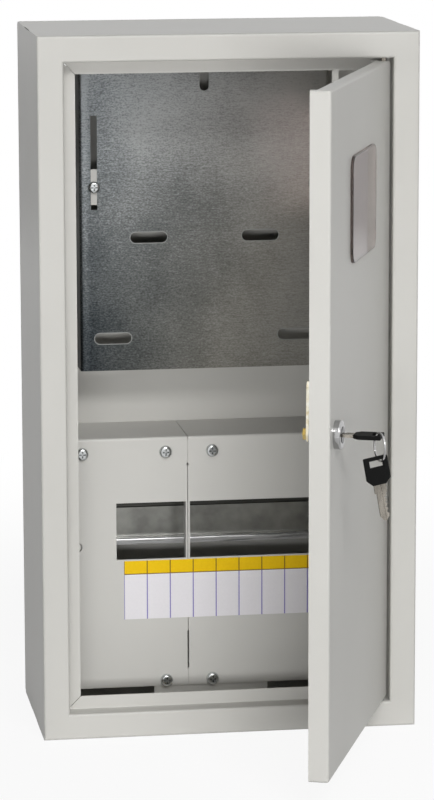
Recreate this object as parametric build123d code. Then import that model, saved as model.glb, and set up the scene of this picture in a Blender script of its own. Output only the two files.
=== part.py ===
"""Wall-mounted meter and breaker enclosure of folded sheet steel.

Millimetres. +X is to the right seen from the front, +Z is up and the front faces -Y.
The origin is the middle of the four wall-fixing holes on the rear face.
The door is built shut and then swung open about its hinge pins.
"""
import os
from math import cos, radians, sin, sqrt

from build123d import *

# Housing
BOX_W = 290.0
BOX_H = 540.0
BOX_D = 150.0
SHEET = 1.2
BEND = 2.0
FRAME_W = 20.0
RECESS = 16.0
STOP_W = 10.0
MITRE_SLIT = 0.4
SEAM_SLIT = 0.6
SEAM_SLIT_L = 36.0
REAR_LIP = 12.0
TAB_X = 83.0
TAB_W = 5.0
TAB_H = 9.0
ENTRY_R = 14.0
ENTRY_SLIT = 1.0
ENTRY_BRIDGE = 4.0
ENTRY_PITCH = 80.0
ENTRY_DEPTH = 100.0

# Back panel and wall fixing
FIX_PITCH_X = 220.0
FIX_PITCH_Z = 472.0
FIX_HOLE_R = 3.5

# Door and hinge
DOOR_GAP = 2.5
DOOR_DEPTH = 15.0
DOOR_LIP = 10.0
OPEN_ANGLE = 69.0
HINGE_INSET = 4.5
PIN_R = 2.0
PIN_PLAY = 0.08
PIN_REACH = 4.0
PIN_HEAD_R = 2.4
PIN_HEAD_T = 1.5
WASHER_R = 3.4
WASHER_PLAY = 0.1
WINDOW_W = 98.0
WINDOW_H = 78.0
WINDOW_R = 10.0
WINDOW_FROM_HINGE = 119.0
WINDOW_DROP = 93.5
PANE_T = 2.0
PANE_LAP = 8.0
PANE_PROUD = 2.0
PANE_PLAY = 0.3
PANE_ROUND = 0.8
CLIP_W = 10.0
CLIP_T = 1.0
CLIP_FOOT = 8.0
CLIP_FINGER = 5.0
CLIP_PITCH = 60.0

# Lock
LOCK_FROM_EDGE = 20.0
LOCK_Z = 2.4
BEZEL_R = 10.4
BEZEL_T = 5.5
BEZEL_ROUND = 1.6
BARREL_R = 9.0
BARREL_PLAY = 0.1
NUT_FLATS = 24.0
NUT_T = 5.0
PLUG_R = 6.0
PLUG_PLAY = 0.06
PLUG_PROUD = 0.3
PLUG_END_GAP = 0.3
CAM_BEHIND_STOP = 0.8
CAM_T = 2.0
CAM_W = 12.0
CAM_TIP_W = 8.0
CAM_REACH = 38.0
CAM_SQUARE = 6.4
CAM_SCREW_R = 2.0
CAM_SCREW_L = 6.0
CAM_SCREW_SPACE = 0.5
CAM_SCREW_FLATS = 8.0
CAM_SCREW_HEAD_T = 2.8

# Keys and ring
BLADE_W = 6.4
BLADE_T = 2.2
BLADE_IN = 18.0
BLADE_OUT = 8.0
BLADE_ROOT = 7.0
SHOULDER_W = 8.8
SHOULDER_L = 6.0
BLADE_PLAY = 0.25
BLADE_GROOVE_W = 1.6
BLADE_GROOVE_DEPTH = 0.5
BLADE_CUTS = 4
BLADE_CUT_PITCH = 3.4
BLADE_CUT_DEPTH = 1.5
BOW_W = 17.6
BOW_L = 20.4
BOW_T = 3.0
BOW_CUT = 4.0
BOW_ROUND = 1.0
BOW_BEVEL = 0.5
BOW_SLOT_W = 9.8
BOW_SLOT_L = 5.0
BOW_WEB = 2.5
RING_R = 10.0
RING_WIRE = 0.75
RING_TURN = 32.0
RING_SIDE = 4.1
RING_GAP = 0.6
SPARE_GAP = 0.5
SPARE_TURN = 27.0
SPARE_LEAN = 10.2
SPARE_SIDE = 3.0
SPARE_BLADE_L = 26.4

# Middle of the fittings inside, a little left of the box's middle
INNER_X = -3.5

# Meter panel
PANEL_DEPTH = 109.0
PANEL_T = 1.0
PANEL_BEND = 2.4
PANEL_W = 197.0
PANEL_H = 242.0
PANEL_BELOW_TOP = 30.0
NOTCH_W = 7.2
NOTCH_DEPTH = 22.7
SIDE_SLOT_INSET = 11.5
SIDE_SLOT_W = 5.0
SIDE_SLOT_L = 73.5
SIDE_SLOT_DROP = 41.0
MID_SLOT_X = 44.2
MID_SLOT_DROP = 137.0
LOW_SLOT_INSET = 25.7
LOW_SLOT_RISE = 25.6
SLOT_L = 29.0
SLOT_W = 8.4
PANEL_SCREW_DROP = 96.7
BRACKET_H = 28.0
BRACKET_LEAF = 14.0
BRACKET_FOOT = 16.0
BRACKET_T = 1.2
BRACKET_BEND = 2.0
BRACKET_GAP = 1.0

# Screws with pan heads
SCREW_R = 2.0
SCREW_HEAD_R = 4.6
SCREW_HEAD_T = 2.8
SCREW_CROSS = 5.2
SCREW_CROSS_T = 1.2
SCREW_CROSS_DEPTH = 1.4
SCREW_PAST = 4.0
SCREW_PLAY = 0.3
COVER_SCREW_R = 2.5
COVER_SCREW_HEAD_R = 5.0
COVER_SCREW_HEAD_T = 3.2

# Covers over the breaker bay
COVER_DEPTH = 80.0
COVER_T = 1.0
COVER_BEND = 2.2
COVER_LEFT = -114.0
COVER_RIGHT = 107.0
COVER_H = 200.7
COVER_ABOVE_BASE = 18.5
SEAM_X = -21.8
SEAM_GAP = 0.5
SEAM_EDGE = 1.4
SEAM_LEAF = 12.0
SEAM_LEAF_DROP = 22.8
SEAM_LEAF_RISE = 15.5
SEAM_DOT_R = 1.2
COVER_SIDE_GAP = 2.0
SLIT_W = 1.3
SLIT_L = 31.3
SLIT_RISE = 12.7
BAY_DROP = 52.0
BAY_H = 45.4
LEFT_BAY_W = 55.0
RIGHT_BAY_W = 109.0
KNOCKOUT_X = 105.5
KNOCKOUT_DROP = 86.2
KNOCKOUT_R = 3.6
KNOCKOUT_SLIT = 0.8
SCREW_DROP = 11.8
SCREW_RISE = 4.5
SCREW_OUTER_X = 101.5
SCREW_LEFT_X = -39.2
SCREW_RIGHT_X = -2.4
CROSSBAR_H = 19.0
CROSSBAR_LEAF = 14.0
CROSSBAR_UNDER = 0.4
FOOT_W = 90.8
FOOT_H = 31.0
FOOT_LEAF = 20.0

# Marking strip
LABEL_LEFT = -72.6
LABEL_GAP = 1.2
LABEL_CELL = 18.3
LABEL_CELLS = 9
LABEL_H = 47.0
LABEL_T = 0.2

# Mounting rail
RAIL_DEPTH = 120.0
RAIL_BELOW_BAY = 2.1
RAIL_L = 199.0
RAIL_H = 35.0
RAIL_HAT = 7.5
RAIL_T = 1.0
RAIL_BEND = 1.4
RAIL_MOUTH = 25.0
RAIL_SCREW_X = 90.0
RAIL_FOOT_W = 18.0

# Earth studs
STUD_R = 3.0
STUD_L = 12.0
STUD_NUT_FLATS = 10.0
STUD_NUT_T = 5.0
STUD_PLAY = 0.05
STUD_INSET = 29.0
STUD_ABOVE_COVER = 20.8
DOOR_STUD_X = 70.0
DOOR_STUD_RISE = 57.5

# Planes and edges that follow from the sizes above
FRONT = -BOX_D
INSIDE_BACK = -SHEET
OPENING_W = BOX_W - 2 * FRAME_W
OPENING_H = BOX_H - 2 * FRAME_W
STOP_Y = FRONT + RECESS
DOOR_W = OPENING_W - 2 * DOOR_GAP
DOOR_H = OPENING_H - 2 * DOOR_GAP
DOOR_INNER_Y = FRONT + SHEET
HINGE_X = DOOR_W / 2 - HINGE_INSET
HINGE_Y = FRONT + HINGE_INSET
WINDOW_X = DOOR_W / 2 - WINDOW_FROM_HINGE
WINDOW_Z = DOOR_H / 2 - WINDOW_DROP
LOCK_X = -DOOR_W / 2 + LOCK_FROM_EDGE
LOCK_FACE = FRONT - BEZEL_T
CAM_Y = STOP_Y + SHEET + CAM_BEHIND_STOP
PANEL_Y = PANEL_DEPTH - BOX_D
PANEL_TOP = BOX_H / 2 - PANEL_BELOW_TOP
PANEL_BOTTOM = PANEL_TOP - PANEL_H
PANEL_SCREW_X = PANEL_W / 2 - SIDE_SLOT_INSET
PANEL_SCREW_Z = PANEL_TOP - PANEL_SCREW_DROP
COVER_Y = COVER_DEPTH - BOX_D
COVER_REAR = COVER_Y + COVER_T
COVER_BOTTOM = COVER_ABOVE_BASE - BOX_H / 2
COVER_TOP = COVER_BOTTOM + COVER_H
CROSSBAR_BOTTOM = COVER_TOP - COVER_BEND - CROSSBAR_UNDER - CROSSBAR_H
BAY_TOP = COVER_TOP - BAY_DROP
BAY_BOTTOM = BAY_TOP - BAY_H
LABEL_TOP = BAY_BOTTOM - LABEL_GAP
RAIL_Y = RAIL_DEPTH - BOX_D
RAIL_REAR = RAIL_Y + RAIL_HAT
RAIL_Z = (BAY_TOP + BAY_BOTTOM) / 2 - RAIL_BELOW_BAY
STUD_X = BOX_W / 2 - STUD_INSET
STUD_Z = COVER_TOP + STUD_ABOVE_COVER
DOOR_STUD_Z = DOOR_STUD_RISE - DOOR_H / 2


def block(x0, x1, y0, y1, z0, z1):
    """A box between two opposite corners, named in any order."""
    middle = Pos((x0 + x1) / 2, (y0 + y1) / 2, (z0 + z1) / 2)
    return middle * Box(abs(x1 - x0), abs(y1 - y0), abs(z1 - z0))


def slab(width, height, y0, y1):
    """A box centred on the front view."""
    return block(-width / 2, width / 2, y0, y1, -height / 2, height / 2)


def rod(x, z, radius, y0, y1):
    """A round bar along Y."""
    return Pos(x, (y0 + y1) / 2, z) * Rot(90, 0, 0) * Cylinder(radius, abs(y1 - y0))


def post(x, y, radius, z0, z1):
    """A round bar along Z."""
    return Pos(x, y, (z0 + z1) / 2) * Cylinder(radius, abs(z1 - z0))


def hexagon(x, z, flats, y0, y1):
    """A six-sided bar along Y."""
    outline = RegularPolygon(flats / sqrt(3), 6)
    return Pos(x, y1, z) * Rot(90, 0, 0) * extrude(outline, y1 - y0)


def slot(x, z, length, width, y0, y1):
    """A round-ended slot cutter along X."""
    outline = SlotOverall(length, width)
    return Pos(x, y1, z) * Rot(90, 0, 0) * extrude(outline, y1 - y0)


def sheet(points, thickness, bend):
    """The section of a folded sheet along its middle line, with the bends' outer radius."""
    return trace(FilletPolyline(*points, radius=bend - thickness / 2), thickness)


def along_x(section, x0, x1):
    """Run a section drawn in Y and Z along X."""
    return Plane.YZ.offset(min(x0, x1)) * extrude(section, abs(x1 - x0))


def along_z(section, z0, z1):
    """Run a section drawn in X and Y along Z."""
    return Pos(0, 0, min(z0, z1)) * extrude(section, abs(z1 - z0))


def folded_edges(shape, y, radius):
    """Round the four front edges and the four corners of a box."""
    front = shape.edges().filter_by_position(Axis.Y, y, y)
    corners = shape.edges().filter_by(Axis.Y)
    return fillet(front + corners, radius)


def pan_screw(x, z, seat, radius, head_r, head_t, length):
    """A pan-head screw along Y with its cross recess towards the front."""
    head = rod(x, z, head_r, seat - head_t, seat)
    rim = head.edges().filter_by_position(Axis.Y, seat - head_t, seat - head_t)
    head = fillet(rim, head_t * 0.7)
    floor = seat - head_t + SCREW_CROSS_DEPTH
    wide = SCREW_CROSS / 2
    thin = SCREW_CROSS_T / 2
    head -= block(x - wide, x + wide, seat - head_t, floor, z - thin, z + thin)
    head -= block(x - thin, x + thin, seat - head_t, floor, z - wide, z + wide)
    return head + rod(x, z, radius, seat, seat + length)


def housing_side(length, across):
    """One mitred side of the housing along X: rear lip, wall, frame, recess and stop."""
    half = SHEET / 2
    edge = -across / 2
    wall = edge + half
    rim = edge + FRAME_W - half
    section = sheet([(INSIDE_BACK - half, edge + REAR_LIP), (INSIDE_BACK - half, wall),
                     (FRONT + half, wall), (FRONT + half, rim),
                     (STOP_Y + half, rim), (STOP_Y + half, edge + FRAME_W + STOP_W)],
                    SHEET, BEND)
    reach = FRAME_W + STOP_W
    end = length / 2
    mitre = make_face(Polyline((-end, edge), (end, edge), (end - reach, edge + reach),
                               (reach - end, edge + reach), close=True))
    return along_x(section, -end, end) & (Rot(90, 0, 0) * extrude(mitre, BOX_D))


def make_housing():
    bottom = housing_side(BOX_W, BOX_H)
    left = Rot(0, 90, 0) * housing_side(BOX_H, BOX_W)
    body = bottom + mirror(bottom, Plane.XY) + left + mirror(left, Plane.YZ)
    stop_x = OPENING_W / 2 - STOP_W
    stop_z = OPENING_H / 2 - STOP_W
    cut = STOP_W - BEND
    mitre_slit = Box(2 * cut * sqrt(2), SHEET, MITRE_SLIT)
    seam_slit = Box(2 * BEND * sqrt(2), SEAM_SLIT_L, SEAM_SLIT)
    for side_x in (-1, 1):
        for side_z in (-1, 1):
            turn = Rot(0, -45 * side_x * side_z, 0)
            body -= Pos(side_x * stop_x, STOP_Y + SHEET / 2, side_z * stop_z) * turn * mitre_slit
            body -= Pos(side_x * BOX_W / 2, FRONT + BOX_D / 2, side_z * BOX_H / 2) * turn * seam_slit
    body += block(TAB_X - TAB_W / 2, TAB_X + TAB_W / 2, STOP_Y, STOP_Y + SHEET,
                  stop_z - TAB_H, stop_z)
    floor = -BOX_H / 2
    for step in (-1, 0, 1):
        x = step * ENTRY_PITCH
        y = FRONT + ENTRY_DEPTH
        ring = post(x, y, ENTRY_R, floor, floor + SHEET)
        ring -= post(x, y, ENTRY_R - ENTRY_SLIT, floor, floor + SHEET)
        ring -= Pos(x, y, floor) * Box(2 * ENTRY_R, ENTRY_BRIDGE, 2 * SHEET)
        body -= ring
    for side in (-1, 1):
        edge = side * OPENING_H / 2
        body -= post(HINGE_X, HINGE_Y, PIN_R, edge, edge + side * SHEET)
    return body


def make_back_panel():
    panel = slab(BOX_W, BOX_H, INSIDE_BACK, 0)
    panel = fillet(panel.edges().filter_by(Axis.Y), BEND)
    for side_x in (-1, 1):
        for side_z in (-1, 1):
            panel -= rod(side_x * FIX_PITCH_X / 2, side_z * FIX_PITCH_Z / 2,
                         FIX_HOLE_R, INSIDE_BACK, 0)
    return panel


def make_door():
    pan = folded_edges(slab(DOOR_W, DOOR_H, FRONT, FRONT + DOOR_DEPTH), FRONT, BEND)
    door = offset(pan, -SHEET, openings=pan.faces().sort_by(Axis.Y)[-1])
    outline = RectangleRounded(WINDOW_W, WINDOW_H, WINDOW_R)
    cut = Pos(WINDOW_X, DOOR_INNER_Y, WINDOW_Z) * Rot(90, 0, 0) * extrude(outline, SHEET)
    door -= cut
    door -= rod(LOCK_X, LOCK_Z, BARREL_R + BARREL_PLAY, FRONT, DOOR_INNER_Y)
    wide = DOOR_W / 2 - BEND
    for side in (-1, 1):
        edge = side * DOOR_H / 2
        door -= block(-wide, wide, FRONT + DOOR_LIP, FRONT + DOOR_DEPTH, edge - side * SHEET, edge)
        door -= post(HINGE_X, HINGE_Y, PIN_R + PIN_PLAY, edge - side * SHEET, edge)
    return door


def make_hinge_pins():
    pins = []
    for side in (-1, 1):
        tip = side * (DOOR_H / 2 - SHEET - PIN_REACH)
        seat = side * (OPENING_H / 2 + SHEET)
        top = seat + side * PIN_HEAD_T
        shank = post(HINGE_X, HINGE_Y, PIN_R, tip, seat)
        pins.append(shank + post(HINGE_X, HINGE_Y, PIN_HEAD_R, seat, top))
    return Compound(children=pins)


def make_hinge_washer():
    floor = -OPENING_H / 2
    top = -DOOR_H / 2 - WASHER_PLAY
    ring = post(HINGE_X, HINGE_Y, WASHER_R, floor, top)
    return ring - post(HINGE_X, HINGE_Y, PIN_R, floor, top)


def make_window_pane():
    wide = WINDOW_W / 2 + PANE_LAP
    tall = WINDOW_H / 2 + PANE_LAP
    rear = DOOR_INNER_Y + PANE_T
    face = FRONT - PANE_PROUD
    outline = RectangleRounded(WINDOW_W - 2 * PANE_PLAY, WINDOW_H - 2 * PANE_PLAY,
                               WINDOW_R - PANE_PLAY)
    pad = Pos(WINDOW_X, rear, WINDOW_Z) * Rot(90, 0, 0) * extrude(outline, rear - face)
    pad = fillet(pad.edges().filter_by_position(Axis.Y, face, face), PANE_ROUND)
    return pad + block(WINDOW_X - wide, WINDOW_X + wide, DOOR_INNER_Y, rear,
                       WINDOW_Z - tall, WINDOW_Z + tall)


def make_pane_clips():
    clips = []
    half = CLIP_T / 2
    near = DOOR_INNER_Y + half
    far = near + PANE_T
    for side_x in (-1, 1):
        for side_z in (-1, 1):
            x = WINDOW_X + side_x * CLIP_PITCH / 2
            edge = WINDOW_Z + side_z * (WINDOW_H / 2 + PANE_LAP)
            riser = edge + side_z * half
            section = sheet([(near, edge + side_z * CLIP_FOOT), (near, riser), (far, riser),
                             (far, edge - side_z * CLIP_FINGER)], CLIP_T, CLIP_T)
            clips.append(along_x(section, x - CLIP_W / 2, x + CLIP_W / 2))
    return Compound(children=clips)


def make_lock_barrel():
    bezel = rod(LOCK_X, LOCK_Z, BEZEL_R, LOCK_FACE, FRONT)
    rim = bezel.edges().filter_by_position(Axis.Y, LOCK_FACE, LOCK_FACE)
    bezel = fillet(rim, BEZEL_ROUND)
    rear = CAM_Y - PLUG_END_GAP
    barrel = bezel + rod(LOCK_X, LOCK_Z, BARREL_R, FRONT, rear)
    return barrel - rod(LOCK_X, LOCK_Z, PLUG_R + PLUG_PLAY, LOCK_FACE, rear)


def make_lock_nut():
    nut = hexagon(LOCK_X, LOCK_Z, NUT_FLATS, DOOR_INNER_Y, DOOR_INNER_Y + NUT_T)
    return nut - rod(LOCK_X, LOCK_Z, BARREL_R, DOOR_INNER_Y, DOOR_INNER_Y + NUT_T)


def make_lock_plug():
    face = LOCK_FACE - PLUG_PROUD
    plug = rod(LOCK_X, LOCK_Z, PLUG_R, face, CAM_Y)
    half = CAM_SQUARE / 2
    plug += block(LOCK_X - half, LOCK_X + half, CAM_Y, CAM_Y + CAM_T,
                  LOCK_Z - half, LOCK_Z + half)
    wide = BLADE_W / 2 + BLADE_PLAY
    thin = BLADE_T / 2 + BLADE_PLAY
    plug -= block(LOCK_X - wide, LOCK_X + wide, face, LOCK_FACE + BLADE_IN + BLADE_PLAY,
                  LOCK_Z - thin, LOCK_Z + thin)
    end = CAM_Y + CAM_T
    return plug - rod(LOCK_X, LOCK_Z, CAM_SCREW_R, end - CAM_SCREW_L - CAM_SCREW_SPACE, end)


def make_lock_cam():
    tip = Pos(0, CAM_REACH - CAM_TIP_W / 2) * Circle(CAM_TIP_W / 2)
    outline = make_hull(Circle(CAM_W / 2).edges() + tip.edges())
    cam = Pos(LOCK_X, CAM_Y + CAM_T, LOCK_Z) * Rot(90, 0, 0) * extrude(outline, CAM_T)
    hole = CAM_SQUARE / 2
    return cam - block(LOCK_X - hole, LOCK_X + hole, CAM_Y, CAM_Y + CAM_T,
                       LOCK_Z - hole, LOCK_Z + hole)


def make_cam_screw():
    seat = CAM_Y + CAM_T
    head = hexagon(LOCK_X, LOCK_Z, CAM_SCREW_FLATS, seat, seat + CAM_SCREW_HEAD_T)
    return head + rod(LOCK_X, LOCK_Z, CAM_SCREW_R, seat - CAM_SCREW_L, seat)


def bow_outline():
    """The head of a key: far end at y = 0, blade end at y = -BOW_L."""
    half = BOW_W / 2
    end = half - BOW_CUT
    return make_face(Polyline((-half, 0), (half, 0), (half, BOW_CUT - BOW_L), (end, -BOW_L),
                              (-end, -BOW_L), (-half, BOW_CUT - BOW_L), close=True))


def blade_outline(length):
    """The blade of a key with its shoulder, running down from its root inside the head."""
    half = BLADE_W / 2
    wide = SHOULDER_W / 2
    step = -BOW_L - SHOULDER_L
    tip = -BOW_L - length
    return make_face(Polyline((-wide, BLADE_ROOT - BOW_L), (wide, BLADE_ROOT - BOW_L),
                              (wide, step), (half, step), (half, tip + half),
                              (half / 4, tip), (-half / 4, tip), (-half, tip + half),
                              (-half, step), (-wide, step), close=True))


def make_key(plane, blade_length):
    """Blade and head of a key laid on a plane, both centred on its thickness."""
    blade = Pos(0, 0, -BLADE_T / 2) * extrude(blade_outline(blade_length), BLADE_T)
    tip = -BOW_L - blade_length
    for face in (-1, 1):
        blade -= Pos(0, tip / 2 - BOW_L / 2, face * (BLADE_T - BLADE_GROOVE_DEPTH) / 2) * Box(
            BLADE_GROOVE_W, blade_length, BLADE_GROOVE_DEPTH)
    notch = Rot(0, 0, 45) * Box(BLADE_CUT_DEPTH * sqrt(2), BLADE_CUT_DEPTH * sqrt(2), BLADE_T)
    for step in range(1, BLADE_CUTS + 1):
        blade -= Pos(BLADE_W / 2, tip + BLADE_W / 2 + step * BLADE_CUT_PITCH, 0) * notch
    bow = Pos(0, 0, -BOW_T / 2) * extrude(bow_outline(), BOW_T)
    bow = fillet(bow.edges().filter_by(Axis.Z), BOW_ROUND)
    bow -= Pos(0, -BOW_WEB - BOW_SLOT_L / 2, 0) * Box(BOW_SLOT_W, BOW_SLOT_L, BOW_T)
    faces = bow.faces().sort_by(Axis.Z)
    bow = chamfer(faces[0].edges() + faces[-1].edges(), BOW_BEVEL)
    bow -= blade
    return plane * blade, plane * bow


def level_pair(turn):
    """Two level directions at right angles, turned from the width of the shut door."""
    angle = radians(turn)
    return (cos(angle), sin(angle), 0), (sin(angle), -cos(angle), 0)


BOW_END = LOCK_FACE - BLADE_OUT - BOW_L
KEY_PLANE = Plane(origin=(LOCK_X, BOW_END, LOCK_Z), x_dir=(1, 0, 0), z_dir=(0, 0, -1))
ALONG, ACROSS = level_pair(RING_TURN)
WEB_HALF = BOW_WEB / 2 / sin(radians(RING_TURN))
RING_DROP = sqrt((RING_R - RING_WIRE) ** 2 - WEB_HALF ** 2) - BOW_T / 2 - RING_GAP
RING_CENTRE = (LOCK_X - RING_SIDE, BOW_END + BOW_WEB / 2, LOCK_Z - RING_DROP)
HANG_POINT = (RING_CENTRE[0], RING_CENTRE[1], RING_CENTRE[2] - RING_R)


def make_key_ring():
    place = Plane(origin=RING_CENTRE, x_dir=ALONG, z_dir=ACROSS)
    return place * Torus(RING_R, RING_WIRE)


def make_spare_key():
    facing, wide = level_pair(SPARE_TURN)
    hang = Plane(origin=HANG_POINT, x_dir=wide, z_dir=(-facing[0], -facing[1], 0))
    top = RING_WIRE + SPARE_GAP + BOW_WEB
    return make_key(hang * Rot(0, 0, SPARE_LEAN) * Pos(-SPARE_SIDE, top, 0), SPARE_BLADE_L)


def make_meter_panel():
    wide = (PANEL_W - PANEL_T) / 2
    middle_y = PANEL_Y + PANEL_T / 2
    rear = PANEL_Y + PANEL_T
    section = sheet([(INNER_X - wide, INSIDE_BACK), (INNER_X - wide, middle_y),
                     (INNER_X + wide, middle_y), (INNER_X + wide, INSIDE_BACK)],
                    PANEL_T, PANEL_BEND)
    panel = along_z(section, PANEL_BOTTOM, PANEL_TOP)
    round_z = PANEL_TOP - NOTCH_DEPTH + NOTCH_W / 2
    panel -= rod(INNER_X, round_z, NOTCH_W / 2, PANEL_Y, rear)
    panel -= block(INNER_X - NOTCH_W / 2, INNER_X + NOTCH_W / 2, PANEL_Y, rear,
                   round_z, PANEL_TOP)
    slot_top = PANEL_TOP - SIDE_SLOT_DROP
    low_x = PANEL_W / 2 - LOW_SLOT_INSET
    for side in (-1, 1):
        middle = INNER_X + side * PANEL_SCREW_X
        panel -= block(middle - SIDE_SLOT_W / 2, middle + SIDE_SLOT_W / 2, PANEL_Y, rear,
                       slot_top - SIDE_SLOT_L, slot_top)
        panel -= slot(INNER_X + side * MID_SLOT_X, PANEL_TOP - MID_SLOT_DROP,
                      SLOT_L, SLOT_W, PANEL_Y, rear)
        panel -= slot(INNER_X + side * low_x, PANEL_BOTTOM + LOW_SLOT_RISE,
                      SLOT_L, SLOT_W, PANEL_Y, rear)
    return panel


def make_panel_brackets():
    brackets = []
    half = BRACKET_T / 2
    front = PANEL_Y + PANEL_T
    bottom = PANEL_SCREW_Z - BRACKET_H / 2
    top = PANEL_SCREW_Z + BRACKET_H / 2
    for side in (-1, 1):
        outer = INNER_X + side * (PANEL_W / 2 - PANEL_BEND - BRACKET_GAP)
        web = outer - side * BRACKET_LEAF
        foot = web - side * BRACKET_FOOT
        section = sheet([(outer, front + half), (web, front + half),
                         (web, INSIDE_BACK - half), (foot, INSIDE_BACK - half)],
                        BRACKET_T, BRACKET_BEND)
        piece = along_z(section, bottom, top)
        piece -= rod(INNER_X + side * PANEL_SCREW_X, PANEL_SCREW_Z, SCREW_R,
                     front, front + BRACKET_T)
        brackets.append(piece)
    return Compound(children=brackets)


def make_panel_screws():
    length = PANEL_T + BRACKET_T + SCREW_PAST
    return Compound(children=[
        pan_screw(INNER_X + side * PANEL_SCREW_X, PANEL_SCREW_Z, PANEL_Y, SCREW_R,
                  SCREW_HEAD_R, SCREW_HEAD_T, length) for side in (-1, 1)])


UPPER_Z = COVER_TOP - SCREW_DROP
LOWER_Z = COVER_BOTTOM + SCREW_RISE
UPPER_SCREWS = [(INNER_X - SCREW_OUTER_X, UPPER_Z), (SCREW_LEFT_X, UPPER_Z),
                (SCREW_RIGHT_X, UPPER_Z), (INNER_X + SCREW_OUTER_X, UPPER_Z)]
LOWER_SCREWS = [(SCREW_LEFT_X, LOWER_Z), (SCREW_RIGHT_X, LOWER_Z)]


def make_cover(outer, inner, bay_w):
    """A cover from its outer edge to its edge at the seam, with a window for breakers."""
    side = 1 if inner > outer else -1
    x0 = min(outer, inner)
    x1 = max(outer, inner)
    half = COVER_T / 2
    section = sheet([(INSIDE_BACK, COVER_TOP - half), (COVER_Y + half, COVER_TOP - half),
                     (COVER_Y + half, COVER_BOTTOM)], COVER_T, COVER_BEND)
    cover = along_x(section, x0, x1)
    leaf_top = COVER_TOP - SEAM_LEAF_DROP
    cover += block(inner, inner - side * COVER_T, COVER_REAR, COVER_REAR + SEAM_LEAF,
                   COVER_BOTTOM + SEAM_LEAF_RISE, leaf_top)
    cover += block(outer, outer + side * COVER_T, COVER_REAR, INSIDE_BACK - COVER_SIDE_GAP,
                   COVER_BOTTOM, CROSSBAR_BOTTOM - COVER_SIDE_GAP)
    near = inner - side * SEAM_EDGE
    cover -= block(near, near - side * bay_w, COVER_Y, COVER_REAR, BAY_BOTTOM, BAY_TOP)
    cover -= rod(SEAM_X, leaf_top, SEAM_DOT_R, COVER_Y, COVER_REAR)
    slit_low = COVER_BOTTOM + SLIT_RISE
    cover -= block(SEAM_X - SLIT_W / 2, SEAM_X + SLIT_W / 2, COVER_Y, COVER_REAR + SEAM_LEAF,
                   slit_low, slit_low + SLIT_L)
    tear_x = INNER_X - side * KNOCKOUT_X
    tear_z = COVER_TOP - KNOCKOUT_DROP
    ring = rod(tear_x, tear_z, KNOCKOUT_R, COVER_Y, COVER_REAR)
    ring -= rod(tear_x, tear_z, KNOCKOUT_R - KNOCKOUT_SLIT, COVER_Y, COVER_REAR)
    cover -= ring & block(tear_x, tear_x + side * KNOCKOUT_R, COVER_Y, COVER_REAR,
                          tear_z - KNOCKOUT_R, tear_z + KNOCKOUT_R)
    for x, z in UPPER_SCREWS + LOWER_SCREWS:
        if x0 < x < x1:
            cover -= rod(x, z, COVER_SCREW_R + SCREW_PLAY, COVER_Y, COVER_REAR)
    return cover


def make_cover_crossbar():
    half = BOX_W / 2 - SHEET
    middle_y = COVER_REAR + SHEET / 2
    middle_z = CROSSBAR_BOTTOM + SHEET / 2
    section = sheet([(middle_y, CROSSBAR_BOTTOM + CROSSBAR_H), (middle_y, middle_z),
                     (COVER_REAR + CROSSBAR_LEAF, middle_z)], SHEET, BEND)
    bar = along_x(section, -half, half)
    for x, z in UPPER_SCREWS:
        bar -= rod(x, z, COVER_SCREW_R, COVER_REAR, COVER_REAR + SHEET)
    return bar


def make_cover_foot():
    floor = -BOX_H / 2 + SHEET
    x0 = INNER_X - FOOT_W / 2
    x1 = INNER_X + FOOT_W / 2
    middle_y = COVER_REAR + SHEET / 2
    middle_z = floor + SHEET / 2
    section = sheet([(middle_y, floor + FOOT_H), (middle_y, middle_z),
                     (COVER_REAR + FOOT_LEAF, middle_z)], SHEET, BEND)
    foot = along_x(section, x0, x1)
    for x, z in LOWER_SCREWS:
        foot -= rod(x, z, COVER_SCREW_R, COVER_REAR, COVER_REAR + SHEET)
    return foot


def make_cover_screws():
    length = COVER_T + SHEET + SCREW_PAST
    return Compound(children=[
        pan_screw(x, z, COVER_Y, COVER_SCREW_R, COVER_SCREW_HEAD_R, COVER_SCREW_HEAD_T, length)
        for x, z in UPPER_SCREWS + LOWER_SCREWS])


def make_label_strip():
    right = LABEL_LEFT + LABEL_CELL * LABEL_CELLS
    return block(LABEL_LEFT, right, COVER_Y - LABEL_T, COVER_Y, LABEL_TOP - LABEL_H, LABEL_TOP)


def make_din_rail():
    x0 = INNER_X - RAIL_L / 2
    x1 = INNER_X + RAIL_L / 2
    half = RAIL_T / 2
    wall = RAIL_MOUTH / 2 + half
    edge = RAIL_H / 2
    section = sheet([(RAIL_Y + half, RAIL_Z + edge), (RAIL_Y + half, RAIL_Z + wall),
                     (RAIL_REAR - half, RAIL_Z + wall), (RAIL_REAR - half, RAIL_Z - wall),
                     (RAIL_Y + half, RAIL_Z - wall), (RAIL_Y + half, RAIL_Z - edge)],
                    RAIL_T, RAIL_BEND)
    rail = along_x(section, x0, x1)
    for side in (-1, 1):
        rail -= rod(INNER_X + side * RAIL_SCREW_X, RAIL_Z, SCREW_R + SCREW_PLAY,
                    RAIL_REAR - RAIL_T, RAIL_REAR)
    return rail


def make_rail_brackets():
    feet = []
    half = SHEET / 2
    edge = RAIL_MOUTH / 2
    section = sheet([(INSIDE_BACK - half, RAIL_Z - edge), (INSIDE_BACK - half, RAIL_Z + edge),
                     (RAIL_REAR + half, RAIL_Z + edge), (RAIL_REAR + half, RAIL_Z - edge)],
                    SHEET, BEND)
    for side in (-1, 1):
        x = INNER_X + side * RAIL_SCREW_X
        foot = along_x(section, x - RAIL_FOOT_W / 2, x + RAIL_FOOT_W / 2)
        foot -= rod(x, RAIL_Z, SCREW_R, RAIL_REAR, RAIL_REAR + SHEET)
        feet.append(foot)
    return Compound(children=feet)


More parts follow.
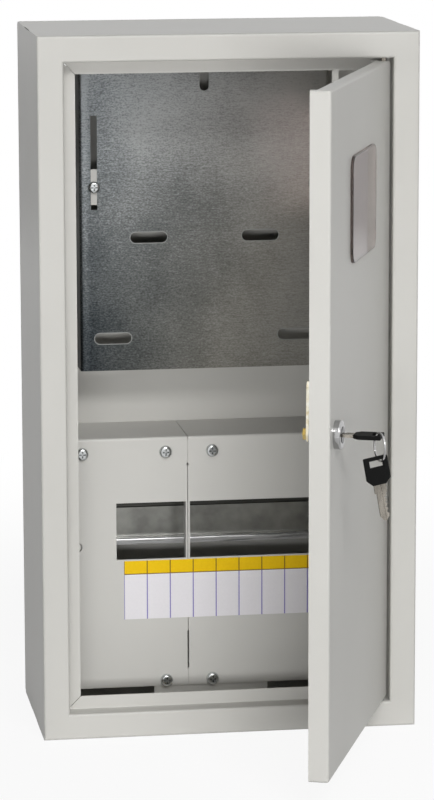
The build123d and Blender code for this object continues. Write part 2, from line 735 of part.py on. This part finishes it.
def make_rail_screws():
    seat = RAIL_REAR - RAIL_T
    length = RAIL_T + SHEET + SCREW_PAST
    return Compound(children=[
        pan_screw(INNER_X + side * RAIL_SCREW_X, RAIL_Z, seat, SCREW_R,
                  SCREW_HEAD_R, SCREW_HEAD_T, length) for side in (-1, 1)])


def make_stud(x, z, root, way):
    """An earth stud on a sheet, and the nut on it, pointing along Y in direction way."""
    grip = root + way * STUD_NUT_T
    stud = rod(x, z, STUD_R, root, root + way * STUD_L)
    nut = hexagon(x, z, STUD_NUT_FLATS, min(root, grip), max(root, grip))
    nut -= rod(x, z, STUD_R + STUD_PLAY, root, grip)
    return stud, nut


HINGE = Axis((HINGE_X, HINGE_Y, 0), (0, 0, 1))
key_blade, key_bow = make_key(KEY_PLANE, BLADE_OUT + BLADE_IN)
spare_blade, spare_bow = make_spare_key()
earth_stud, earth_nut = make_stud(STUD_X, STUD_Z, INSIDE_BACK, -1)
door_stud, door_nut = make_stud(DOOR_STUD_X, DOOR_STUD_Z, DOOR_INNER_Y, 1)

FIXED = {
    "housing": make_housing(),
    "back_panel": make_back_panel(),
    "hinge_pins": make_hinge_pins(),
    "hinge_washer": make_hinge_washer(),
    "meter_panel": make_meter_panel(),
    "panel_brackets": make_panel_brackets(),
    "panel_screws": make_panel_screws(),
    "left_cover": make_cover(COVER_LEFT, SEAM_X - SEAM_GAP / 2, LEFT_BAY_W),
    "right_cover": make_cover(COVER_RIGHT, SEAM_X + SEAM_GAP / 2, RIGHT_BAY_W),
    "cover_crossbar": make_cover_crossbar(),
    "cover_foot": make_cover_foot(),
    "cover_screws": make_cover_screws(),
    "label_strip": make_label_strip(),
    "din_rail": make_din_rail(),
    "rail_brackets": make_rail_brackets(),
    "rail_screws": make_rail_screws(),
    "earth_stud": earth_stud,
    "earth_nut": earth_nut,
}

ON_DOOR = {
    "door": make_door(),
    "window_pane": make_window_pane(),
    "pane_clips": make_pane_clips(),
    "lock_barrel": make_lock_barrel(),
    "lock_nut": make_lock_nut(),
    "lock_plug": make_lock_plug(),
    "lock_cam": make_lock_cam(),
    "cam_screw": make_cam_screw(),
    "key_blade": key_blade,
    "key_bow": key_bow,
    "key_ring": make_key_ring(),
    "spare_key_blade": spare_blade,
    "spare_key_bow": spare_bow,
    "door_earth_stud": door_stud,
    "door_earth_nut": door_nut,
}

os.makedirs("parts", exist_ok=True)
for name, shape in FIXED.items():
    export_step(shape, f"parts/{name}.step")
for name, shape in ON_DOOR.items():
    export_step(shape.rotate(HINGE, OPEN_ANGLE), f"parts/{name}.step")
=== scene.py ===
"""Looks, light and camera for a meter and breaker enclosure of folded sheet steel."""
from math import radians

import bpy
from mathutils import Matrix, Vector


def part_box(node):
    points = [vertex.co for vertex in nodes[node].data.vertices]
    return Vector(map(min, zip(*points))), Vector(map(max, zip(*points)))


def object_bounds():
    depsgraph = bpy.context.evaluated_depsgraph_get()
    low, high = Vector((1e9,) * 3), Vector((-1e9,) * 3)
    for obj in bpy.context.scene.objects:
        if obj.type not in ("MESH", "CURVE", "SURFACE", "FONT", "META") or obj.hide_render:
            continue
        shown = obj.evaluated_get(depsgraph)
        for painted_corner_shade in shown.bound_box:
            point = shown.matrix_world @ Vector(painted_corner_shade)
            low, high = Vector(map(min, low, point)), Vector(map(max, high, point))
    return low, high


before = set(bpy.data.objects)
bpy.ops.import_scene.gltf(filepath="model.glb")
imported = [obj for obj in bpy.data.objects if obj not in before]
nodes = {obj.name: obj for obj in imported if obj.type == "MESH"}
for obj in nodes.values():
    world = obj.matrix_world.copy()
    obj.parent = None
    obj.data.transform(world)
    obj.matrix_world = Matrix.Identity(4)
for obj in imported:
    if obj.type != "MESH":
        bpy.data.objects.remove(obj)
cad_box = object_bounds()

# Places on the pieces that finishes and painted light follow, in metres.
SLOT_L, SLOT_H = 0.029, 0.0084
UPPER_SLOT_OUT, UPPER_SLOT_DROP = 0.0442, 0.137   # from the plate's middle and its top edge
LOWER_SLOT_OUT, LOWER_SLOT_RISE = 0.0728, 0.0256  # from the plate's middle and its foot
# Width of the painted highlight rims around the punched slots:
SLOT_HIGHLIGHT_RIM = 0.0006
BEND_INSET, BEND_REACH = 0.0045, 0.004            # painted highlight, partly stretched zinc, at the plate's side bends
RAIL_MOUTH = 0.025                                # between the lips of the rail
LABEL_CELLS, LABEL_BAND = 9, 0.0106
LABEL_RULE, LABEL_EDGE = 0.0009, 0.00075          # lines between cells and under the band
# Reach of the painted shade in the screw recesses:
RECESS_SHADE_REACH = 0.0015

NOISE_LOW, NOISE_HIGH = 0.3, 0.7                  # most of a noise's values lie between these

# Studio; lengths in metres.
AMBIENT = 0.05
FLOOR_DROP = 0.0004                               # keeps the floor off the plane of the box
FLOOR_REACH = 6.0
FLOOR_SHADE = 0.09                                # share of real shadow that shows near the object
FLOOR_SHADE_NEAR, FLOOR_SHADE_FAR = 0.35, 1.0
FLOOR_IN_GLOSS, WORLD_IN_GLOSS = 0.5, 1.0         # share of white that shiny pieces mirror
LAMP_AIM = Vector((0.0, -0.1, 0.0))
LAMPS = (  # name, place, width and height, watts, mirrored by shiny pieces
    ("front", (0.5, -4.6, 3.3), (2.4, 1.0), 119, True),
    ("high", (0.0, -3.4, 4.0), (2.4, 2.4), 30, True),
    ("low", (-0.3, -2.8, 0.05), (1.4, 0.3), 29, False),
    ("left", (-1.3, -2.2, -0.02), (1.0, 0.45), 5, False),
    ("rear", (0.5, 2.6, 0.25), (1.8, 1.0), 30, False),
    ("right", (2.2, 1.6, 0.4), (1.2, 1.0), 9, False),
)

# Camera fitted to the corners of the box and the door; place in metres, turn in degrees.
CAMERA_PLACE = (-0.40722, -2.77267, 0.47763)
CAMERA_TURN = (79.6294, 0.1341, -8.6272)
CAMERA_LENS, SENSOR_H = 159.66, 36.0              # millimetres


def grey(value):
    return (value, value, value)


class Shader:
    """A node material with a Principled shader and short calls for its inputs."""

    def __init__(self, name):
        self.material = bpy.data.materials.new(name)
        self.material.use_nodes = True
        self.tree = self.material.node_tree
        self.bsdf = self.tree.nodes["Principled BSDF"]
        self.place = self.tree.nodes.new("ShaderNodeTexCoord").outputs["Object"]

    def set(self, **values):
        for key, value in values.items():
            self.bsdf.inputs[key.replace("_", " ")].default_value = value
        return self

    def link(self, output, socket):
        self.tree.links.new(output, socket)

    def stretched(self, scale):
        mapping = self.tree.nodes.new("ShaderNodeMapping")
        mapping.inputs["Scale"].default_value = scale
        self.link(self.place, mapping.inputs["Vector"])
        return mapping.outputs["Vector"]

    def noise(self, scale, detail, rough=0.5, stretch=None):
        node = self.tree.nodes.new("ShaderNodeTexNoise")
        node.inputs["Scale"].default_value = scale
        node.inputs["Detail"].default_value = detail
        node.inputs["Roughness"].default_value = rough
        self.link(self.stretched(stretch) if stretch else self.place, node.inputs["Vector"])
        return node.outputs["Fac"]

    def axis(self, name):
        node = self.tree.nodes.new("ShaderNodeSeparateXYZ")
        self.link(self.place, node.inputs["Vector"])
        return node.outputs[name]

    def openness(self, reach):
        """1 in the open and 0 deep in a recess."""
        node = self.tree.nodes.new("ShaderNodeAmbientOcclusion")
        node.inputs["Distance"].default_value = reach
        return node.outputs["AO"]

    def math(self, operation, first, second=0.0):
        node = self.tree.nodes.new("ShaderNodeMath")
        node.operation = operation
        for socket, value in zip(node.inputs, (first, second)):
            if isinstance(value, (int, float)):
                socket.default_value = value
            else:
                self.link(value, socket)
        return node.outputs["Value"]

    def plus(self, first, second):
        return self.math("ADD", first, second)

    def minus(self, first, second):
        return self.math("SUBTRACT", first, second)

    def times(self, first, second):
        return self.math("MULTIPLY", first, second)

    def over(self, first, second):
        return self.math("DIVIDE", first, second)

    def apart(self, first, second):
        return self.math("ABSOLUTE", self.minus(first, second))

    def less(self, first, second):
        return self.math("LESS_THAN", first, second)

    def spread(self, factor, low, high):
        """A factor of 0 to 1 as a value of low to high."""
        node = self.tree.nodes.new("ShaderNodeMapRange")
        node.inputs["To Min"].default_value = low
        node.inputs["To Max"].default_value = high
        self.link(factor, node.inputs["Value"])
        return node.outputs["Result"]

    def ramp(self, factor, *stops):
        node = self.tree.nodes.new("ShaderNodeValToRGB")
        elements = node.color_ramp.elements
        while len(elements) < len(stops):
            elements.new(0.5)
        for element, (position, colour) in zip(elements, stops):
            element.position = position
            element.color = (*colour, 1.0)
        self.link(factor, node.inputs["Fac"])
        return node.outputs["Color"]

    def blend(self, noise, low, high):
        return self.ramp(noise, (NOISE_LOW, low), (NOISE_HIGH, high))

    def mix(self, factor, first, second):
        node = self.tree.nodes.new("ShaderNodeMix")
        node.data_type = "RGBA"
        colour_a = [s for s in node.inputs if s.name == "A" and s.type == "RGBA"][0]
        colour_b = [s for s in node.inputs if s.name == "B" and s.type == "RGBA"][0]
        self.link(factor, node.inputs[0])
        for socket, value in ((colour_a, first), (colour_b, second)):
            if isinstance(value, tuple):
                socket.default_value = (*value, 1.0)
            else:
                self.link(value, socket)
        return [s for s in node.outputs if s.type == "RGBA"][0]

    def colour(self, output):
        self.link(output, self.bsdf.inputs["Base Color"])
        return self

    def roughness(self, factor, low, high):
        self.link(self.spread(factor, low, high), self.bsdf.inputs["Roughness"])
        return self

    def bump(self, height, strength, distance):
        node = self.tree.nodes.new("ShaderNodeBump")
        node.inputs["Strength"].default_value = strength
        node.inputs["Distance"].default_value = distance
        self.link(height, node.inputs["Height"])
        self.link(node.outputs["Normal"], self.bsdf.inputs["Normal"])
        return self


def powder_coat(name, low, high):
    s = Shader(name).set(IOR=1.5, Specular_IOR_Level=0.3)
    s.colour(s.blend(s.noise(9.0, detail=2.0), low, high))
    grain = s.noise(1500.0, detail=2.0)
    s.roughness(grain, 0.28, 0.40)
    return s.bump(grain, strength=0.06, distance=0.0003).material


def galvanised(low, high, slots):
    """Zinc-coated sheet: fine mottle, rolling streaks, random blue clouds with a painted warm
    reflection that turns them brown to the lower right, painted shade to the lower left corner, a
    painted highlight along the side bends (partly stretched zinc) and painted highlight rims
    around the punched slots."""
    s = Shader("galvanised").set(Metallic=0.95)
    mottle = s.noise(980.0, detail=3.0, rough=0.65, stretch=(0.6, 1.0, 1.0))
    streak = s.noise(1500.0, detail=2.0, stretch=(0.14, 1.0, 1.0))
    cloud = s.noise(13.0, detail=2.0, stretch=(1.0, 1.0, 0.8))
    width = high[0] - low[0]
    across = s.over(s.minus(s.axis("X"), low[0]), width)
    down = s.over(s.minus(high[2], s.axis("Z")), width)
    side = s.apart(s.axis("X"), (low[0] + high[0]) / 2)

    # The mottle is strongest at the left, and painted shade darkens the sheet to its lower left
    # corner.
    contrast = s.minus(0.86, s.times(across, 0.52))
    grains = s.times(s.minus(mottle, 0.5), contrast)
    tone = s.plus(s.plus(grains, 0.325), s.times(streak, 0.3))
    tone = s.plus(tone, s.times(cloud, 0.5))
    painted_corner_shade = s.times(down, s.minus(1.62, s.times(across, 1.35)))
    tone = s.minus(s.plus(tone, 0.12), s.times(painted_corner_shade, 0.24))
    # Painted highlight along the side bends, partly stretched zinc: a lighter band in the colour.
    from_bend = s.apart(width / 2 - BEND_INSET, side)
    bend_highlight = s.math("MAXIMUM", s.minus(1.0, s.over(from_bend, BEND_REACH)), 0.0)
    tone = s.plus(tone, s.times(bend_highlight, 0.13))

    # Painted warm reflection: random clouds plus a tint that turns brown towards the lower right.
    painted_warm_reflection = s.times(across, s.plus(s.times(down, 0.5), 0.6))
    cloud_and_warm_reflection = s.spread(s.plus(painted_warm_reflection, s.times(cloud, 0.5)), -0.25, 1.0)
    cold_zinc = s.ramp(tone, (0.24, (0.030, 0.036, 0.042)), (0.42, (0.075, 0.087, 0.094)),
                       (0.62, (0.165, 0.182, 0.192)), (0.90, (0.46, 0.49, 0.51)))
    warm_zinc = s.ramp(tone, (0.24, (0.080, 0.076, 0.062)), (0.42, (0.150, 0.144, 0.122)),
                       (0.62, (0.250, 0.243, 0.215)), (0.90, (0.47, 0.46, 0.43)))
    sheet = s.mix(cloud_and_warm_reflection, cold_zinc, warm_zinc)

    # Painted highlight: a lighter ring around each punched slot.
    for slot_out, slot_z in slots:
        past = s.minus(s.apart(side, slot_out), (SLOT_L - SLOT_H) / 2)
        past = s.math("MAXIMUM", past, 0.0)
        rise = s.minus(s.axis("Z"), slot_z)
        reach = s.math("SQRT", s.plus(s.times(past, past), s.times(rise, rise)))
        rim_highlight = s.less(reach, SLOT_H / 2 + SLOT_HIGHLIGHT_RIM)
        sheet = s.mix(rim_highlight, sheet, (0.38, 0.39, 0.38))
    s.colour(sheet)
    s.roughness(mottle, 0.34, 0.52)
    return s.bump(mottle, strength=0.12, distance=0.0004).material


def rail_steel(middle):
    """Zinc-plated rail: a dull web, a painted highlight on the lower lip
    and a painted shadow on the upper lip."""
    s = Shader("rail_steel").set(Metallic=1.0)
    streak = s.noise(700.0, detail=4.0, rough=0.6, stretch=(0.03, 1.0, 1.0))
    web = s.blend(s.noise(60.0, detail=3.0), (0.29, 0.29, 0.27), (0.46, 0.46, 0.43))
    # Painted highlight on the lower lip and painted shadow on the upper lip.
    lower_lip_highlight = s.ramp(streak, (0.36, grey(0.32)), (0.47, grey(0.98)))
    upper_lip_shadow = s.blend(streak, (0.05, 0.05, 0.045), (0.12, 0.12, 0.11))
    rise = s.minus(s.axis("Z"), middle)
    lower_lip = s.less(rise, -RAIL_MOUTH / 2)
    upper_lip = s.less(RAIL_MOUTH / 2, rise)
    s.colour(s.mix(upper_lip, s.mix(lower_lip, web, lower_lip_highlight), upper_lip_shadow))
    rough = s.plus(s.spread(streak, 0.26, 0.42), s.times(lower_lip, 0.06))
    s.link(rough, s.bsdf.inputs["Roughness"])
    return s.bump(streak, strength=0.1, distance=0.0002).material


def bright_zinc():
    """Zinc-plated screws and clips, with painted shade in their recesses."""
    s = Shader("bright_zinc").set(Metallic=1.0)
    tarnish = s.noise(180.0, detail=4.0)
    clean = s.blend(tarnish, (0.56, 0.58, 0.58), (0.76, 0.78, 0.78))
    # Painted shade: near black where the surface is hemmed in by a recess.
    s.colour(s.mix(s.openness(RECESS_SHADE_REACH), grey(0.03), clean))
    s.roughness(s.noise(900.0, detail=3.0), 0.16, 0.32)
    return s.bump(tarnish, strength=0.08, distance=0.0002).material


def chrome(name, low, high):
    s = Shader(name).set(Metallic=1.0)
    s.colour(s.blend(s.noise(120.0, detail=2.0), grey(low), grey(high)))
    s.roughness(s.noise(600.0, detail=3.0), 0.05, 0.14)
    return s.material


def worn_steel():
    s = Shader("worn_steel").set(Metallic=1.0)
    wear = s.noise(240.0, detail=3.0, stretch=(1.0, 1.0, 0.3))
    s.colour(s.blend(wear, (0.25, 0.23, 0.20), (0.43, 0.40, 0.35)))
    s.roughness(s.noise(900.0, detail=3.0), 0.18, 0.34)
    return s.bump(wear, strength=0.06, distance=0.0002).material


def yellow_zinc(name, deep, middle, pale):
    s = Shader(name).set(Metallic=1.0)
    tint = s.noise(260.0, detail=3.0)
    s.colour(s.ramp(tint, (NOISE_LOW, deep), (0.5, middle), (NOISE_HIGH, pale)))
    s.roughness(s.noise(700.0, detail=3.0), 0.12, 0.28)
    return s.material


def black_plastic():
    s = Shader("black_plastic").set(Specular_IOR_Level=0.06)
    grain = s.noise(2600.0, detail=2.0)
    s.colour(s.blend(grain, grey(0.005), grey(0.010)))
    s.roughness(grain, 0.5, 0.65)
    return s.bump(grain, strength=0.2, distance=0.0002).material


def tinted_pane():
    s = Shader("tinted_pane").set(Transmission_Weight=1.0, IOR=1.3, Specular_IOR_Level=0.15)
    s.colour(s.blend(s.noise(20.0, detail=2.0), (0.49, 0.39, 0.38), (0.53, 0.43, 0.42)))
    s.roughness(s.noise(300.0, detail=2.0), 0.03, 0.08)
    return s.material


def cell_label(left, right, top):
    """Paper strip: a yellow band over white cells, with thin printed lines between them."""
    s = Shader("cell_label").set(Specular_IOR_Level=0.3)
    cell = (right - left) / LABEL_CELLS
    along = s.over(s.minus(s.axis("X"), left), cell)
    down = s.minus(top, s.axis("Z"))
    rule = s.less(s.apart(along, s.math("ROUND", along)), LABEL_RULE / cell / 2)
    in_band = s.less(down, LABEL_BAND)
    edge = s.less(s.apart(down, LABEL_BAND), LABEL_EDGE / 2)
    fibre = s.noise(500.0, detail=4.0)
    white = s.blend(fibre, (0.825, 0.805, 0.835), (0.845, 0.825, 0.855))
    yellow = s.blend(fibre, (0.88, 0.56, 0.004), (0.92, 0.60, 0.007))
    paper = s.mix(in_band, white, yellow)
    ink = s.mix(in_band, (0.24, 0.21, 0.52), (0.28, 0.16, 0.02))
    lined = s.mix(rule, paper, ink)
    s.colour(s.mix(edge, lined, (0.20, 0.12, 0.03)))
    s.roughness(fibre, 0.4, 0.55)
    return s.material


plate_low, plate_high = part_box("meter_panel")
rail_low, rail_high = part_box("din_rail")
label_low, label_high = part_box("label_strip")
plate_slots = ((UPPER_SLOT_OUT, plate_high[2] - UPPER_SLOT_DROP),
               (LOWER_SLOT_OUT, plate_low[2] + LOWER_SLOT_RISE))

FINISH = {
    powder_coat("powder_coat", (0.555, 0.547, 0.517), (0.580, 0.572, 0.542)): (
        "housing", "back_panel", "door", "panel_brackets", "cover_crossbar", "cover_foot"),
    # The covers' lighter copy of the housing paint is painted light on the recessed covers.
    powder_coat("cover_coat_painted_lighter", (0.600, 0.592, 0.562), (0.625, 0.617, 0.587)): (
        "left_cover", "right_cover"),
    galvanised(plate_low, plate_high, plate_slots): ("meter_panel",),
    rail_steel((rail_low[2] + rail_high[2]) / 2): ("din_rail", "rail_brackets"),
    bright_zinc(): (
        "panel_screws", "cover_screws", "rail_screws", "hinge_washer", "pane_clips",
        "earth_stud", "door_earth_stud", "lock_nut"),
    chrome("chrome", 0.38, 0.52): ("lock_barrel", "key_ring"),
    # The plug's near-black chrome is a painted dark reflection.
    chrome("chrome_painted_dark_reflection", 0.025, 0.045): ("lock_plug",),
    worn_steel(): ("key_blade", "spare_key_blade", "hinge_pins"),
    # The cam's pale copy of the yellow zinc is a painted glint.
    yellow_zinc("yellow_zinc_painted_glint", (0.76, 0.66, 0.42), (0.88, 0.83, 0.68), (0.94, 0.91, 0.82)): (
        "lock_cam",),
    yellow_zinc("deep_yellow_zinc", (0.34, 0.23, 0.05), (0.47, 0.34, 0.10), (0.62, 0.48, 0.20)): (
        "cam_screw", "earth_nut", "door_earth_nut"),
    black_plastic(): ("key_bow", "spare_key_bow"),
    tinted_pane(): ("window_pane",),
    cell_label(label_low[0], label_high[0], label_high[2]): ("label_strip",),
}
for material, names in FINISH.items():
    for name in names:
        mesh = nodes[name].data
        mesh.materials.clear()
        mesh.materials.append(material)


def shows_white(tree, in_gloss):
    """1 for camera and transmission rays, and a share of it for glossy rays."""
    path = tree.nodes.new("ShaderNodeLightPath")
    straight = tree.nodes.new("ShaderNodeMath")
    straight.operation = "MAXIMUM"
    tree.links.new(path.outputs["Is Camera Ray"], straight.inputs[0])
    tree.links.new(path.outputs["Is Transmission Ray"], straight.inputs[1])
    total = tree.nodes.new("ShaderNodeMath")
    total.operation = "MULTIPLY_ADD"
    tree.links.new(path.outputs["Is Glossy Ray"], total.inputs[0])
    total.inputs[1].default_value = in_gloss
    tree.links.new(straight.outputs["Value"], total.inputs[2])
    return total.outputs["Value"]


def make_world():
    """A faint soft light all round, in front of a white background."""
    world = bpy.data.worlds.new("studio")
    bpy.context.scene.world = world
    world.use_nodes = True
    tree = world.node_tree
    soft = tree.nodes["Background"]
    soft.inputs["Color"].default_value = (0.97, 0.985, 1.0, 1.0)
    soft.inputs["Strength"].default_value = AMBIENT
    white = tree.nodes.new("ShaderNodeBackground")
    white.inputs["Color"].default_value = (*grey(1.0), 1.0)
    white.inputs["Strength"].default_value = 1.0
    mix = tree.nodes.new("ShaderNodeMixShader")
    tree.links.new(shows_white(tree, WORLD_IN_GLOSS), mix.inputs[0])
    tree.links.new(soft.outputs[0], mix.inputs[1])
    tree.links.new(white.outputs[0], mix.inputs[2])
    tree.links.new(mix.outputs[0], tree.nodes["World Output"].inputs["Surface"])


def make_floor(height):
    """A pale floor that shows white, with a soft shadow near the object."""
    mesh = bpy.data.meshes.new("floor")
    corners = [(-FLOOR_REACH, -FLOOR_REACH, height), (FLOOR_REACH, -FLOOR_REACH, height),
               (FLOOR_REACH, FLOOR_REACH, height), (-FLOOR_REACH, FLOOR_REACH, height)]
    mesh.from_pydata(corners, [], [(0, 1, 2, 3)])
    floor = bpy.data.objects.new("floor", mesh)
    bpy.context.scene.collection.objects.link(floor)
    s = Shader("floor_pale").set(Base_Color=(*grey(0.86), 1.0), Roughness=0.9,
                                 Specular_IOR_Level=0.0)
    away = s.tree.nodes.new("ShaderNodeVectorMath")
    away.operation = "LENGTH"
    s.link(s.place, away.inputs[0])
    fade = s.tree.nodes.new("ShaderNodeMapRange")
    fade.interpolation_type = "SMOOTHSTEP"
    fade.inputs["From Min"].default_value = FLOOR_SHADE_NEAR
    fade.inputs["From Max"].default_value = FLOOR_SHADE_FAR
    fade.inputs["To Min"].default_value = 1.0 - FLOOR_SHADE
    fade.inputs["To Max"].default_value = 1.0
    s.link(away.outputs["Value"], fade.inputs["Value"])
    glow = s.tree.nodes.new("ShaderNodeEmission")
    mix = s.tree.nodes.new("ShaderNodeMixShader")
    white = s.times(shows_white(s.tree, FLOOR_IN_GLOSS), fade.outputs["Result"])
    s.link(white, mix.inputs[0])
    s.link(s.bsdf.outputs[0], mix.inputs[1])
    s.link(glow.outputs[0], mix.inputs[2])
    s.link(mix.outputs[0], s.tree.nodes["Material Output"].inputs["Surface"])
    mesh.materials.append(s.material)


def softbox(name, place, size, power, mirrored):
    """A rectangular lamp aimed at the box; shiny pieces show it only if it is mirrored."""
    lamp = bpy.data.lights.new(name, "AREA")
    lamp.shape = "RECTANGLE"
    lamp.size, lamp.size_y = size
    lamp.energy = power
    holder = bpy.data.objects.new(name, lamp)
    holder.location = place
    aim = LAMP_AIM - holder.location
    holder.rotation_euler = aim.to_track_quat("-Z", "Y").to_euler()
    holder.visible_glossy = mirrored
    bpy.context.scene.collection.objects.link(holder)


make_world()
make_floor(cad_box[0][2] - FLOOR_DROP)
for lamp in LAMPS:
    softbox(*lamp)

camera = bpy.data.cameras.new("camera")
camera.sensor_fit = "VERTICAL"
camera.sensor_height = SENSOR_H
camera.lens = CAMERA_LENS
view = bpy.data.objects.new("camera", camera)
view.location = CAMERA_PLACE
view.rotation_euler = [radians(angle) for angle in CAMERA_TURN]
bpy.context.scene.collection.objects.link(view)
bpy.context.scene.camera = view
bpy.context.scene.view_settings.view_transform = "Standard"
